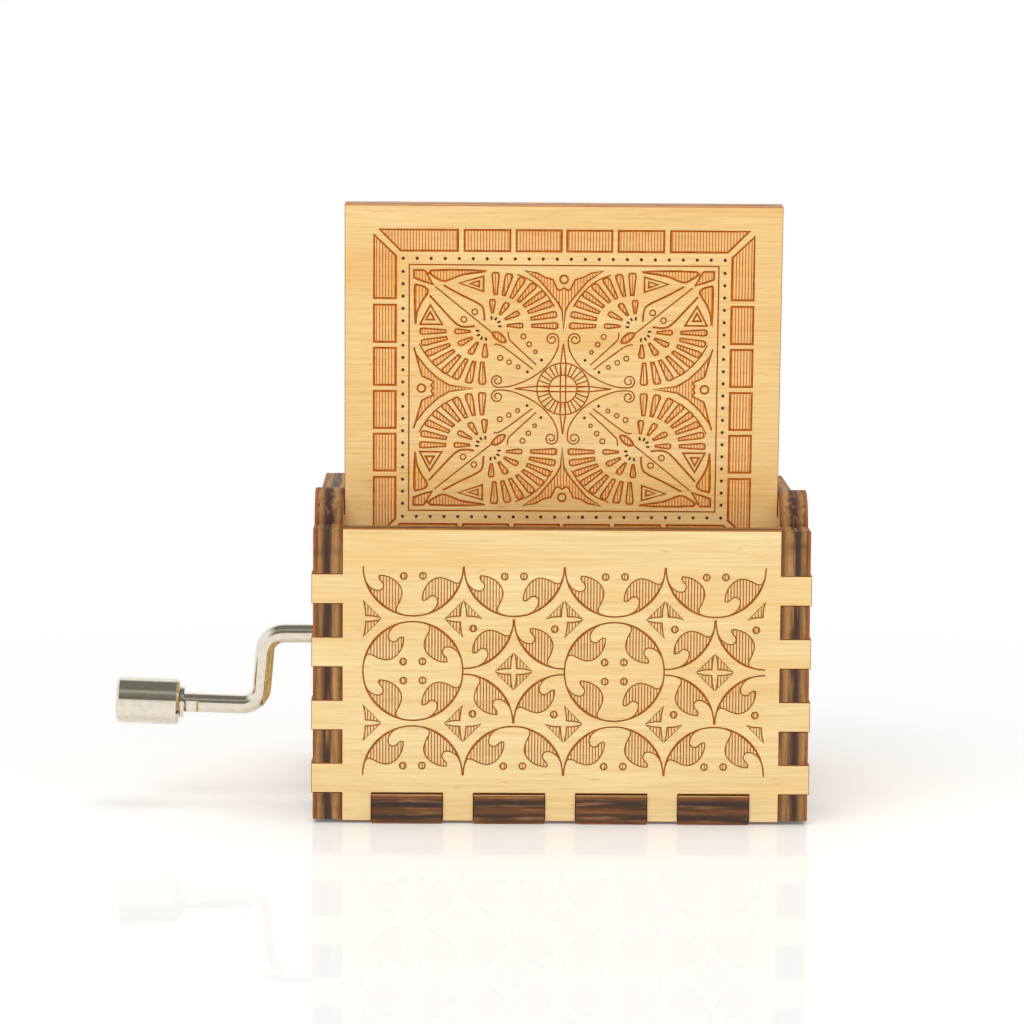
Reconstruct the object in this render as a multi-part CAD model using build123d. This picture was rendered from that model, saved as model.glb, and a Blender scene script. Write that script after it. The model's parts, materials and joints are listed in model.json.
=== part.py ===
from build123d import *
from math import cos, pi, radians, sin, sqrt, tan
import os

# A hand cranked music box in a small plywood case, in millimetres, +Z up.
# The origin is on the floor under the middle of the case. -Y is the hinge side,
# +X is the right-hand wall seen from there, and the crank leaves the left-hand wall.
# The rest position has the lid open and the crank hanging a little towards +Y.

# ---- plywood case ----
PLY = 3.7                 # thickness of every plywood piece
CASE_W = 64.0             # width over the finger ends of the two panels
CASE_D = 52.0             # depth over the tab ends of the base plate
WALL_TOP = 39.6           # straight top edge of the side walls
REAR_TOP = 38.1           # top edge of the rear panel and of the ledge beside it
FINGER_PROUD = 0.2        # fingers and side tabs stand out of the side walls
TAB_PROUD = 0.3           # base tabs stand out of the panels
GLUE_GAP = 0.04           # play in every glued finger joint
PANEL_LIFT = 0.3          # panels end this far above the floor
WALL_LIFT = 0.5           # side walls end this far above the floor

FINGER_COUNT = 4          # panel fingers on each corner
FINGER_FIRST = 3.94       # lower edge of the lowest finger
FINGER_H = 3.85
FINGER_PITCH = 8.17
REAR_TAB_COUNT = 4        # base plate tabs through each panel
REAR_TAB_W = 9.06
REAR_TAB_PITCH = 13.13
SIDE_TAB_COUNT = 3        # base plate tabs through each side wall
SIDE_TAB_W = 7.6
SIDE_TAB_PITCH = 13.4
NOTCH_PLAY = 0.25         # height left free above each base tab

# ---- lid and its wooden hinge ----
LID_SIDE_GAP = 0.1        # lid edge to side wall
LID_FRONT_GAP = 0.1       # closed lid edge behind the front panel's outer face
LID_TOP_DROP = 0.05       # closed lid below the tops of the side walls
LID_REST_GAP = 0.1        # closed lid above the front panel
LID_OPEN = 94.3           # angle of the lid from closed to its rest position
PIVOT_BACK = 5.9          # hinge axis to the rear panel's inner face
SWING_GAP = 0.29          # lid corner to the rear panel as it swings past
EAR_R = 4.6               # round ear of the side wall, around the hinge axis
EAR_FILLET = 1.6
TENON_W = 3.0             # width of the lid's tenons
TENON_SHORT = 0.1         # tenon ends inside the wall's outer face
HINGE_CLEAR = 0.07        # tenon corner to its round hole

# ---- music movement ----
BED_T = 1.8               # base of the cast bedplate
FOOT_H = 1.9              # its feet, standing on the plywood base
FOOT_R = 2.6
BED_MARGIN = 1.0          # bedplate edge beyond what it carries
BED_CORNER_R = 1.5
DRUM_INSET = 14.1         # drum axis to the left wall's inner face
CRANK_INSET = 8.4         # crank axis to the rear panel's inner face
DRUM_R = 6.6
DRUM_WALL = 0.6
BED_FRONT_GAP = 3.65      # bedplate's front edge to the front panel's inner face
PIN_OUT = 0.6             # pins stand this far out of the drum
PIN_IN = 0.3              # and are pressed this far into it
PIN_R = 0.2
PINS_EACH = 5             # pins for each note
PIN_STEP = 47             # degrees from one note's pins to the next note's
PIN_SKIP = 23             # degrees by which some pins are moved on
DRUM_CLEAR = 0.7          # pins above the bedplate
CAP_T = 0.8
ARBOR_R = 0.9
RUNNING = 0.05            # radial clearance of each running fit
END_PLAY = 0.15           # axial play of each shaft

MODULE = 0.5
WHEEL_TEETH = 20
WHEEL_FACE = 2.0
TOOTH_SHARE = 0.35        # tooth thickness as a share of the pitch, wheel and worm alike
FLANK = 20.0              # degrees of slope of the tooth and thread flanks
DEDENDUM = 1.25           # root depth in modules
THREAD_SUNK = 0.15        # thread foot inside the worm's core
TOOTH_SUNK = 0.9          # tooth foot inside the wheel's disc
WORM_COLLAR = 0.5         # plain worm beyond the wheel's width on each side
WORM_PITCH_R = 2.5
WORM_TURNS = 4
WHEEL_HUB_R = 2.0
WHEEL_TO_DRUM = 2.6       # hub length between the wheel and the drum cap

BRACKET_T = 1.6           # bearing brackets of the drum
BRACKET_R = 2.6
POST_T = 2.0              # crank posts, one on each side of the worm
POST_R = 2.2

NOTES = 18
DRUM_END = 0.65           # drum beyond the outer teeth
TOOTH_GAP = 0.2
TOOTH_T = 0.45
COMB_T = 0.9
COMB_CLEAR = 0.25         # tooth tips to the pin circle
COMB_L = 24.0             # tooth tip to the back edge
BASS_L = 15.5             # free length of the lowest tooth
TREBLE_L = 9.5            # free length of the highest tooth
COMB_MARGIN = 0.9         # comb body beyond the outer teeth
WEIGHT_COUNT = 8          # bass teeth that carry a tuning weight
WEIGHT_L = 3.0
WEIGHT_BACK = 1.2         # weight behind the tooth tip
WEIGHT_H = 1.8            # height of the largest weight
PEDESTAL_BACK = 0.5       # comb pedestal behind the longest tooth's root
SCREW_R = 1.0             # comb, bracket and mounting screws
SCREW_HEAD_R = 1.8
SCREW_HEAD_H = 1.1
SCREW_BITE = 3.0          # thread length in the bedplate
SLOT_W = 0.5
SLOT_DEEP = 0.5
FLANGE_L = 5.2            # foot of the removable drum bracket
FLANGE_T = 1.2

# ---- crank ----
ROD_R = 1.24
BEND_R = 2.6              # centreline radius of both bends
ARM_OUT = 38.3            # upper bend from the middle of the case
ARM_DROP = 10.13          # upper bend to lower bend
ARM_LEAN = 0.9            # lower bend outside the upper one
PIN_RISE = 2.0            # degrees the grip end rises from level
CRANK_TURN = 13.0         # degrees the crank hangs from straight down, towards +Y
HOLE_PLAY = 0.95          # crank rod to its hole in the side wall
KNOB_R = 3.03
KNOB_L = 8.2
KNOB_START = 10.6         # lower bend to the knob's inner end
KNOB_END_WALL = 1.0
KNOB_EDGE = 0.35
BUSH_L = 4.6
BUSH_WALL = 0.75
HEAD_L = 1.2              # headed end of the rod inside the knob
WASHER_R = 2.1
WASHER_T = 0.5
CRIMP_L = 1.9
CRIMP_W = 3.1
CRIMP_T = 1.5
CLIP_R = 2.3
CLIP_T = 0.6
CLIP_MOUTH = 1.6
ROD_TAIL = 0.6            # rod beyond its clip

# ---- places worked out from those sizes ----
WALL_X = CASE_W / 2 - FINGER_PROUD
PANEL_Y = CASE_D / 2 - TAB_PROUD
INNER_X = WALL_X - PLY
INNER_Y = PANEL_Y - PLY
NOTCH_TOP = PLY + NOTCH_PLAY

LID_HALF = INNER_X - LID_SIDE_GAP
PIVOT_Y = -INNER_Y + PIVOT_BACK
PIVOT_Z = WALL_TOP - LID_TOP_DROP - PLY / 2
LID_FRONT = PANEL_Y - LID_FRONT_GAP - PIVOT_Y
LID_REAR = sqrt((PIVOT_BACK - SWING_GAP) ** 2 - (PLY / 2) ** 2)
FRONT_TOP = PIVOT_Z - PLY / 2 - LID_REST_GAP
TENON_HOLE_R = sqrt((TENON_W / 2) ** 2 + (PLY / 2) ** 2) + HINGE_CLEAR

PIN_TIP_R = DRUM_R + PIN_OUT
WHEEL_R = MODULE * WHEEL_TEETH / 2
PITCH = pi * MODULE
BED_BOTTOM = PLY + FOOT_H
BED_TOP = BED_BOTTOM + BED_T
DRUM_X = -INNER_X + DRUM_INSET
DRUM_Z = BED_TOP + DRUM_CLEAR + PIN_TIP_R
CRANK_Y = -INNER_Y + CRANK_INSET
CRANK_Z = DRUM_Z + WHEEL_R + WORM_PITCH_R
WHEEL_Y0 = CRANK_Y - WHEEL_FACE / 2
WHEEL_Y1 = CRANK_Y + WHEEL_FACE / 2
DRUM_Y0 = WHEEL_Y1 + WHEEL_TO_DRUM
BED_Y1 = INNER_Y - BED_FRONT_GAP
FRONT_BRACKET_Y = BED_Y1 - BED_MARGIN - FLANGE_L
DRUM_Y1 = FRONT_BRACKET_Y - END_PLAY
DRUM_MID = (DRUM_Y0 + DRUM_Y1) / 2
REAR_BRACKET_Y = WHEEL_Y0 - END_PLAY

WORM_TIP_R = WORM_PITCH_R + MODULE
WORM_ROOT_R = WORM_PITCH_R - DEDENDUM * MODULE
FLANK_SHIFT = MODULE * tan(radians(FLANK))
WORM_HALF = WHEEL_R + MODULE + END_PLAY + WORM_COLLAR
POST_OUT_X = DRUM_X - WORM_HALF - END_PLAY / 2
POST_IN_X = DRUM_X + WORM_HALF + END_PLAY / 2
ROD_END = POST_IN_X + POST_T + END_PLAY + CLIP_T + ROD_TAIL

COMB_TIP = DRUM_X + PIN_TIP_R + COMB_CLEAR
COMB_BACK = COMB_TIP + COMB_L
TOOTH_PITCH = (DRUM_Y1 - DRUM_Y0 - 2 * DRUM_END) / NOTES
COMB_HALF = NOTES * TOOTH_PITCH / 2 + COMB_MARGIN
COMB_BOTTOM = DRUM_Z - COMB_T / 2
COMB_TOP = DRUM_Z + COMB_T / 2
PEDESTAL_X = COMB_TIP + BASS_L + PEDESTAL_BACK
COMB_SCREW_X = (PEDESTAL_X + COMB_BACK) / 2
COMB_SCREW_YS = [DRUM_MID - COMB_HALF / 2, DRUM_MID + COMB_HALF / 2]

BED_X0 = POST_OUT_X - POST_T - BED_MARGIN
BED_X1 = COMB_BACK + BED_MARGIN
BED_Y0 = REAR_BRACKET_Y - BRACKET_T - BED_MARGIN
FEET = [
    (BED_X0 + FOOT_R, BED_Y0 + FOOT_R),
    (BED_X0 + FOOT_R, BED_Y1 - FOOT_R),
    (BED_X1 - FOOT_R, BED_Y0 + FOOT_R),
    (BED_X1 - FOOT_R, BED_Y1 - FOOT_R),
]
HEAD_RECESS = SCREW_HEAD_H + 0.3
BRACKET_SCREW_Y = FRONT_BRACKET_Y + (BRACKET_T + FLANGE_L) / 2


def block(x0, x1, y0, y1, z0, z1):
    return Pos((x0 + x1) / 2, (y0 + y1) / 2, (z0 + z1) / 2) * Box(x1 - x0, y1 - y0, z1 - z0)


def rod_x(radius, x0, x1, y, z):
    return Pos((x0 + x1) / 2, y, z) * Rot(0, 90, 0) * Cylinder(radius, x1 - x0)


def rod_y(radius, x, y0, y1, z):
    return Pos(x, (y0 + y1) / 2, z) * Rot(90, 0, 0) * Cylinder(radius, y1 - y0)


def rod_z(radius, x, y, z0, z1):
    return Pos(x, y, (z0 + z1) / 2) * Cylinder(radius, z1 - z0)


def flat(y0, y1, z0, z1):
    """A rectangle for a side wall, drawn in Y and Z."""
    return Pos((y0 + y1) / 2, (z0 + z1) / 2) * Rectangle(y1 - y0, z1 - z0)


def row(count, pitch):
    """Centres of a row of evenly spaced things about 0."""
    return [(i - (count - 1) / 2) * pitch for i in range(count)]


def finger_spans():
    firsts = [FINGER_FIRST + i * FINGER_PITCH for i in range(FINGER_COUNT)]
    return [(z, z + FINGER_H) for z in firsts]


def slotted_screw(x, y, seat, bite):
    """A cheese-head screw from above: its head stands on seat."""
    head = rod_z(SCREW_HEAD_R, x, y, seat, seat + SCREW_HEAD_H)
    shank = rod_z(SCREW_R, x, y, seat - bite, seat)
    top = seat + SCREW_HEAD_H
    slot = block(x - SCREW_HEAD_R, x + SCREW_HEAD_R, y - SLOT_W / 2, y + SLOT_W / 2, top - SLOT_DEEP, top)
    return head + shank - slot


# ---------------------------------------------------------------- plywood case
def end_panel(side, top):
    """Rear panel (side -1) or front panel (side 1), with its fingers and notches."""
    y0, y1 = sorted((side * INNER_Y, side * PANEL_Y))
    edge = INNER_X - GLUE_GAP
    panel = block(-edge, edge, y0, y1, PANEL_LIFT, top)
    for z0, z1 in finger_spans():
        panel += block(-CASE_W / 2, CASE_W / 2, y0, y1, z0, z1)
    for x in row(REAR_TAB_COUNT, REAR_TAB_PITCH):
        half = REAR_TAB_W / 2 + GLUE_GAP
        panel -= block(x - half, x + half, y0, y1, 0, NOTCH_TOP)
    return panel


def ear_outline():
    """The round ear on the hinge axis and the hollow fillet down to the straight edge."""
    rise = WALL_TOP + EAR_FILLET - PIVOT_Z
    foot_y = PIVOT_Y + sqrt((EAR_R + EAR_FILLET) ** 2 - rise ** 2)
    centre = (foot_y, WALL_TOP + EAR_FILLET)
    web = Polygon((PIVOT_Y, PIVOT_Z), (foot_y, WALL_TOP), centre, align=None)
    web -= Pos(*centre) * Circle(EAR_FILLET)
    return Pos(PIVOT_Y, PIVOT_Z) * Circle(EAR_R) + web


def side_wall(side):
    """Left wall (side -1, with the crank hole) or right wall (side 1)."""
    outline = flat(-PANEL_Y, PANEL_Y, WALL_LIFT, REAR_TOP)
    outline += flat(PIVOT_Y, PANEL_Y, WALL_LIFT, WALL_TOP)
    outline += ear_outline()
    reach = INNER_Y - GLUE_GAP
    for z0, z1 in finger_spans():
        outline -= flat(-PANEL_Y, -reach, z0 - GLUE_GAP, z1 + GLUE_GAP)
        outline -= flat(reach, PANEL_Y, z0 - GLUE_GAP, z1 + GLUE_GAP)
    for y in row(SIDE_TAB_COUNT, SIDE_TAB_PITCH):
        half = SIDE_TAB_W / 2 + GLUE_GAP
        outline -= flat(y - half, y + half, 0, NOTCH_TOP)
    outline -= Pos(PIVOT_Y, PIVOT_Z) * Circle(TENON_HOLE_R)
    if side < 0:
        outline -= Pos(CRANK_Y, CRANK_Z) * Circle(ROD_R + HOLE_PLAY)
    start = -WALL_X if side < 0 else INNER_X
    return extrude(Plane.YZ.offset(start) * outline, PLY)


def base_plate():
    edge_x = INNER_X - GLUE_GAP
    edge_y = INNER_Y - GLUE_GAP
    plate = block(-edge_x, edge_x, -edge_y, edge_y, 0, PLY)
    for x in row(REAR_TAB_COUNT, REAR_TAB_PITCH):
        plate += block(x - REAR_TAB_W / 2, x + REAR_TAB_W / 2, -CASE_D / 2, CASE_D / 2, 0, PLY)
    for y in row(SIDE_TAB_COUNT, SIDE_TAB_PITCH):
        plate += block(-CASE_W / 2, CASE_W / 2, y - SIDE_TAB_W / 2, y + SIDE_TAB_W / 2, 0, PLY)
    for x, y in FEET:
        plate -= rod_z(SCREW_R + RUNNING, x, y, 0, PLY)
        plate -= rod_z(SCREW_HEAD_R + HINGE_CLEAR, x, y, 0, HEAD_RECESS)
    return plate


def lid():
    """The lid lies closed along +Y from the hinge axis, and is then swung open."""
    board = block(-LID_HALF, LID_HALF, -LID_REAR, LID_FRONT, -PLY / 2, PLY / 2)
    tip = WALL_X - TENON_SHORT
    board += block(-tip, tip, -TENON_W / 2, TENON_W / 2, -PLY / 2, PLY / 2)
    return Pos(0, PIVOT_Y, PIVOT_Z) * Rot(LID_OPEN, 0, 0) * board


# ---------------------------------------------------------------- movement frame
def bedplate():
    middle = Pos((BED_X0 + BED_X1) / 2, (BED_Y0 + BED_Y1) / 2)
    outline = middle * RectangleRounded(BED_X1 - BED_X0, BED_Y1 - BED_Y0, BED_CORNER_R)
    bed = extrude(Plane.XY.offset(BED_BOTTOM) * outline, BED_T)
    for x, y in FEET:
        bed += rod_z(FOOT_R, x, y, PLY, BED_BOTTOM)
    bed += block(PEDESTAL_X, COMB_BACK, DRUM_MID - COMB_HALF, DRUM_MID + COMB_HALF, BED_TOP, COMB_BOTTOM)
    bed += bearing(REAR_BRACKET_Y - BRACKET_T, REAR_BRACKET_Y, BED_TOP)
    for x0 in (POST_OUT_X - POST_T, POST_IN_X):
        bed += block(x0, x0 + POST_T, CRANK_Y - POST_R, CRANK_Y + POST_R, BED_TOP, CRANK_Z)
        bed += rod_x(POST_R, x0, x0 + POST_T, CRANK_Y, CRANK_Z)
    bed -= rod_x(ROD_R + RUNNING, BED_X0, ROD_END, CRANK_Y, CRANK_Z)
    for x, y in FEET:
        bed -= rod_z(SCREW_R, x, y, PLY, PLY + SCREW_BITE)
    for y in COMB_SCREW_YS:
        bed -= rod_z(SCREW_R, COMB_SCREW_X, y, COMB_BOTTOM - SCREW_BITE, COMB_BOTTOM)
    bed -= rod_z(SCREW_R, DRUM_X, BRACKET_SCREW_Y, BED_BOTTOM, BED_TOP)
    return bed


def bearing(y0, y1, foot):
    """An upright with a round top, bored for the drum arbor."""
    upright = block(DRUM_X - BRACKET_R, DRUM_X + BRACKET_R, y0, y1, foot, DRUM_Z)
    upright += rod_y(BRACKET_R, DRUM_X, y0, y1, DRUM_Z)
    return upright - rod_y(ARBOR_R + RUNNING, DRUM_X, y0, y1, DRUM_Z)


def drum_bracket():
    """The removable front bearing of the drum, with the flange that is screwed down."""
    y0 = FRONT_BRACKET_Y
    flange = block(DRUM_X - BRACKET_R, DRUM_X + BRACKET_R, y0, y0 + FLANGE_L, BED_TOP, BED_TOP + FLANGE_T)
    flange -= rod_z(SCREW_R + RUNNING, DRUM_X, BRACKET_SCREW_Y, BED_TOP, BED_TOP + FLANGE_T)
    return bearing(y0, y0 + BRACKET_T, BED_TOP) + flange


def bracket_screw():
    return slotted_screw(DRUM_X, BRACKET_SCREW_Y, BED_TOP + FLANGE_T, FLANGE_T + BED_T)


def comb_screws():
    seat = COMB_TOP
    return [slotted_screw(COMB_SCREW_X, y, seat, COMB_T + SCREW_BITE) for y in COMB_SCREW_YS]


def mounting_screws():
    """Screws up through the base plate into the four feet, with their heads sunk."""
    screws = []
    for x, y in FEET:
        head = rod_z(SCREW_HEAD_R, x, y, HEAD_RECESS - SCREW_HEAD_H, HEAD_RECESS)
        slot_top = HEAD_RECESS - SCREW_HEAD_H + SLOT_DEEP
        slot = block(x - SCREW_HEAD_R, x + SCREW_HEAD_R, y - SLOT_W / 2, y + SLOT_W / 2, 0, slot_top)
        screws.append(head + rod_z(SCREW_R, x, y, HEAD_RECESS, PLY + SCREW_BITE) - slot)
    return screws


# ---------------------------------------------------------------- steel comb
def note_y(i):
    return DRUM_MID + row(NOTES, TOOTH_PITCH)[i]


def free_length(i):
    return BASS_L + (TREBLE_L - BASS_L) * i / (NOTES - 1)


def comb():
    """Long bass teeth at -Y, short treble teeth at +Y, on a thicker body."""
    y0 = DRUM_MID - COMB_HALF
    y1 = DRUM_MID + COMB_HALF
    bass_root = COMB_TIP + BASS_L
    treble_root = COMB_TIP + TREBLE_L
    outline = Polygon((bass_root, y0), (COMB_BACK, y0), (COMB_BACK, y1), (treble_root, y1), align=None)
    steel = extrude(Plane.XY.offset(COMB_BOTTOM) * outline, COMB_T)
    half = (TOOTH_PITCH - TOOTH_GAP) / 2
    for i in range(NOTES):
        y = note_y(i)
        root = COMB_TIP + free_length(i) + COMB_T
        low = DRUM_Z - TOOTH_T / 2
        steel += block(COMB_TIP, root, y - half, y + half, low, low + TOOTH_T)
    for y in COMB_SCREW_YS:
        steel -= rod_z(SCREW_R + RUNNING, COMB_SCREW_X, y, COMB_BOTTOM, COMB_TOP)
    return steel


def comb_weights():
    """Tuning weights under the bass teeth, smaller from note to note."""
    weights = []
    top = DRUM_Z - TOOTH_T / 2
    half = (TOOTH_PITCH - TOOTH_GAP) / 2
    for i in range(WEIGHT_COUNT):
        height = WEIGHT_H * (1 - i / (WEIGHT_COUNT + 2))
        x0 = COMB_TIP + WEIGHT_BACK
        y = note_y(i)
        weights.append(block(x0, x0 + WEIGHT_L, y - half, y + half, top - height, top))
    return weights


# ---------------------------------------------------------------- drum and wheel
def drum_shell():
    shell = rod_y(DRUM_R, DRUM_X, DRUM_Y0, DRUM_Y1, DRUM_Z)
    return shell - rod_y(DRUM_R - DRUM_WALL, DRUM_X, DRUM_Y0, DRUM_Y1, DRUM_Z)


def drum_cap(y0):
    cap = rod_y(DRUM_R - DRUM_WALL, DRUM_X, y0, y0 + CAP_T, DRUM_Z)
    return cap - rod_y(ARBOR_R, DRUM_X, y0, y0 + CAP_T, DRUM_Z)


def drum_pins():
    """Pins in one ring for each note, spread round the drum by an uneven step."""
    pins = []
    inner = DRUM_R - PIN_IN
    length = PIN_IN + PIN_OUT
    for i in range(NOTES):
        for k in range(PINS_EACH):
            turn = 360 * k / PINS_EACH + PIN_STEP * i + PIN_SKIP * (i * k % 3)
            pin = Pos(0, 0, inner + length / 2) * Cylinder(PIN_R, length)
            pins.append(Pos(DRUM_X, note_y(i), DRUM_Z) * Rot(0, turn, 0) * pin)
    return pins


def drum_arbor():
    y0 = REAR_BRACKET_Y - BRACKET_T - END_PLAY
    y1 = FRONT_BRACKET_Y + BRACKET_T + END_PLAY
    return rod_y(ARBOR_R, DRUM_X, y0, y1, DRUM_Z)


def worm_wheel():
    """Straight teeth on a disc, one tooth pointing straight up at the worm."""
    tip_r = WHEEL_R + MODULE
    root_r = WHEEL_R - DEDENDUM * MODULE
    half = TOOTH_SHARE * PITCH / 2
    root_half = half + FLANK_SHIFT
    tip_half = half - FLANK_SHIFT
    tooth = Polygon(
        (-root_half, root_r - TOOTH_SUNK),
        (root_half, root_r - TOOTH_SUNK),
        (root_half, root_r),
        (tip_half, tip_r),
        (-tip_half, tip_r),
        (-root_half, root_r),
        align=None,
    )
    gear = Circle(root_r)
    for i in range(WHEEL_TEETH):
        gear += Rot(0, 0, 360 * i / WHEEL_TEETH) * tooth
    wheel = extrude(Plane.XZ * gear, WHEEL_FACE)
    wheel = Pos(DRUM_X, WHEEL_Y1, DRUM_Z) * wheel
    wheel += rod_y(WHEEL_HUB_R, DRUM_X, WHEEL_Y1, DRUM_Y0, DRUM_Z)
    return wheel - rod_y(ARBOR_R, DRUM_X, WHEEL_Y0, DRUM_Y0, DRUM_Z)


# ---------------------------------------------------------------- crank
def worm():
    """A one-start right-hand worm, its thread in the gap beside the wheel's top tooth."""
    half = TOOTH_SHARE * PITCH / 2
    sunk = WORM_ROOT_R - THREAD_SUNK
    section = Plane.XZ * Polygon(
        (sunk, -half - FLANK_SHIFT),
        (WORM_TIP_R, FLANK_SHIFT - half),
        (WORM_TIP_R, half - FLANK_SHIFT),
        (sunk, half + FLANK_SHIFT),
        align=None,
    )
    thread = sweep(section, path=Helix(PITCH, PITCH * WORM_TURNS, WORM_PITCH_R), is_frenet=True)
    start = DRUM_X - PITCH * WORM_TURNS / 2
    if WORM_TURNS % 2 == 0:
        start += PITCH / 2
    thread = Pos(start, CRANK_Y, CRANK_Z) * Rot(0, 90, 0) * thread
    x0 = DRUM_X - WORM_HALF
    x1 = DRUM_X + WORM_HALF
    body = rod_x(WORM_ROOT_R, x0, x1, CRANK_Y, CRANK_Z)
    return body + thread - rod_x(ROD_R, x0, x1, CRANK_Y, CRANK_Z)


def turned(shape):
    """From the crank's own frame, arm straight down, to its rest position."""
    return Pos(0, CRANK_Y, CRANK_Z) * Rot(CRANK_TURN, 0, 0) * shape


def on_grip(shape):
    """From the grip's own frame, -X outwards from the lower bend, to the crank's frame."""
    return Pos(-ARM_OUT - ARM_LEAN, 0, -ARM_DROP) * Rot(0, PIN_RISE, 0) * shape


GRIP_END = KNOB_START + KNOB_L - KNOB_END_WALL - END_PLAY
BORE_R = ROD_R + RUNNING + BUSH_WALL


def crank_rod():
    """One rod with two bends, a headed end inside the knob and a crimp before it."""
    end_x = -ARM_OUT - ARM_LEAN - GRIP_END * cos(radians(PIN_RISE))
    end_z = -ARM_DROP + GRIP_END * sin(radians(PIN_RISE))
    path = FilletPolyline(
        (ROD_END, 0, 0),
        (-ARM_OUT, 0, 0),
        (-ARM_OUT - ARM_LEAN, 0, -ARM_DROP),
        (end_x, 0, end_z),
        radius=BEND_R,
    )
    rod = sweep(Plane(origin=path @ 0, z_dir=path % 0) * Circle(ROD_R), path=path)
    head = rod_x(BORE_R - 2 * RUNNING, -GRIP_END, -GRIP_END + HEAD_L, 0, 0)
    rod += on_grip(head)
    crimp_end = -KNOB_START + END_PLAY + WASHER_T
    crimp = block(crimp_end, crimp_end + CRIMP_L, -CRIMP_W / 2, CRIMP_W / 2, -CRIMP_T / 2, CRIMP_T / 2)
    rod += on_grip(fillet(crimp.edges().filter_by(Axis.Z), CRIMP_L / 4))
    return turned(rod)


def knob_washer():
    x0 = -KNOB_START + END_PLAY
    ring = rod_x(WASHER_R, x0, x0 + WASHER_T, 0, 0) - rod_x(ROD_R, x0, x0 + WASHER_T, 0, 0)
    return turned(on_grip(ring))


def crank_clip():
    """An open spring clip in front of the inner post, around the rod's end."""
    x0 = POST_IN_X + POST_T + END_PLAY
    ring = rod_x(CLIP_R, x0, x0 + CLIP_T, 0, 0) - rod_x(ROD_R, x0, x0 + CLIP_T, 0, 0)
    ring -= block(x0, x0 + CLIP_T, -CLIP_MOUTH / 2, CLIP_MOUTH / 2, 0, CLIP_R)
    return turned(ring)


def crank_knob():
    x0 = -KNOB_START - KNOB_L
    knob = rod_x(KNOB_R, x0, -KNOB_START, 0, 0)
    knob = chamfer(knob.edges().filter_by(GeomType.CIRCLE), KNOB_EDGE)
    knob -= rod_x(BORE_R, x0 + KNOB_END_WALL, -KNOB_START, 0, 0)
    return turned(on_grip(knob))


def knob_bush():
    """A sleeve pressed into the knob, which runs on the rod behind its head."""
    x1 = -KNOB_START - KNOB_EDGE
    bush = rod_x(BORE_R, x1 - BUSH_L, x1, 0, 0)
    return turned(on_grip(bush - rod_x(ROD_R + RUNNING, x1 - BUSH_L, x1, 0, 0)))


PARTS = {
    "rear_panel": end_panel(-1, REAR_TOP),
    "front_panel": end_panel(1, FRONT_TOP),
    "left_side_wall": side_wall(-1),
    "right_side_wall": side_wall(1),
    "base_plate": base_plate(),
    "lid": lid(),
    "bedplate": bedplate(),
    "drum_bracket": drum_bracket(),
    "bracket_screw": bracket_screw(),
    "comb": comb(),
    "comb_weights": comb_weights(),
    "comb_screws": comb_screws(),
    "mounting_screws": mounting_screws(),
    "drum_shell": drum_shell(),
    "drum_cap_rear": drum_cap(DRUM_Y0),
    "drum_cap_front": drum_cap(DRUM_Y1 - CAP_T),
    "drum_pins": drum_pins(),
    "drum_arbor": drum_arbor(),
    "worm_wheel": worm_wheel(),
    "worm": worm(),
    "crank_rod": crank_rod(),
    "crank_clip": crank_clip(),
    "knob_washer": knob_washer(),
    "crank_knob": crank_knob(),
    "knob_bush": knob_bush(),
}

os.makedirs("parts", exist_ok=True)
for name, shape in PARTS.items():
    solid = Compound(children=shape) if isinstance(shape, list) else shape
    export_step(solid, f"parts/{name}.step")
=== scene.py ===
import json
from math import asin, atan2, cos, degrees, hypot, pi, radians, sin

import bpy
from mathutils import Matrix, Vector
from mathutils.geometry import delaunay_2d_cdt


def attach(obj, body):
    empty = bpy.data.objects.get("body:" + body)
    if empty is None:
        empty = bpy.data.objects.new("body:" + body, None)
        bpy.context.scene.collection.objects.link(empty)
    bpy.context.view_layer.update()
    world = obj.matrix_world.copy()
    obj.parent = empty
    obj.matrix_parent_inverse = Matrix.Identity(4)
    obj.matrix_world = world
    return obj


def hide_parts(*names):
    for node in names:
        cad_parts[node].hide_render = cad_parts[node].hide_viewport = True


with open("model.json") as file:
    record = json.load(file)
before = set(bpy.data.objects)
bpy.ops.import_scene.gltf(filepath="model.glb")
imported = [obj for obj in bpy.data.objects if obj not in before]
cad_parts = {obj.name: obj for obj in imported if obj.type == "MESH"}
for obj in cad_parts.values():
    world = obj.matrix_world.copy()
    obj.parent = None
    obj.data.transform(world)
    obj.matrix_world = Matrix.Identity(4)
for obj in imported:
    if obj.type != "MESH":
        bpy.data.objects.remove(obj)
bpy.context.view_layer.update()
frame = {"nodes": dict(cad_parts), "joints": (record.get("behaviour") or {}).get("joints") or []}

MM = 0.001
nodes = frame["nodes"]
joints = {joint["name"]: joint for joint in frame["joints"]}


# ---------------------------------------------------------------- view and studio
# The box stands on a glossy white table in a white studio. A long lens looks at the
# hinge side from a little above, turned and rolled by less than a degree.
CAMERA_AT = Vector((-12.8, -560.9, 104.2)) * MM
CAMERA_YAW = radians(0.68)
CAMERA_PITCH = radians(6.80)
CAMERA_ROLL = radians(0.41)
SENSOR = 36.0
LENS = 148.64

forward = Vector((
    sin(CAMERA_YAW) * cos(CAMERA_PITCH),
    cos(CAMERA_YAW) * cos(CAMERA_PITCH),
    -sin(CAMERA_PITCH),
))
level = Vector((cos(CAMERA_YAW), -sin(CAMERA_YAW), 0))
over = level.cross(forward)
right = level * cos(CAMERA_ROLL) + over * sin(CAMERA_ROLL)
up = over * cos(CAMERA_ROLL) - level * sin(CAMERA_ROLL)
turn = Matrix((right, up, -forward)).transposed().to_4x4()

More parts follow.
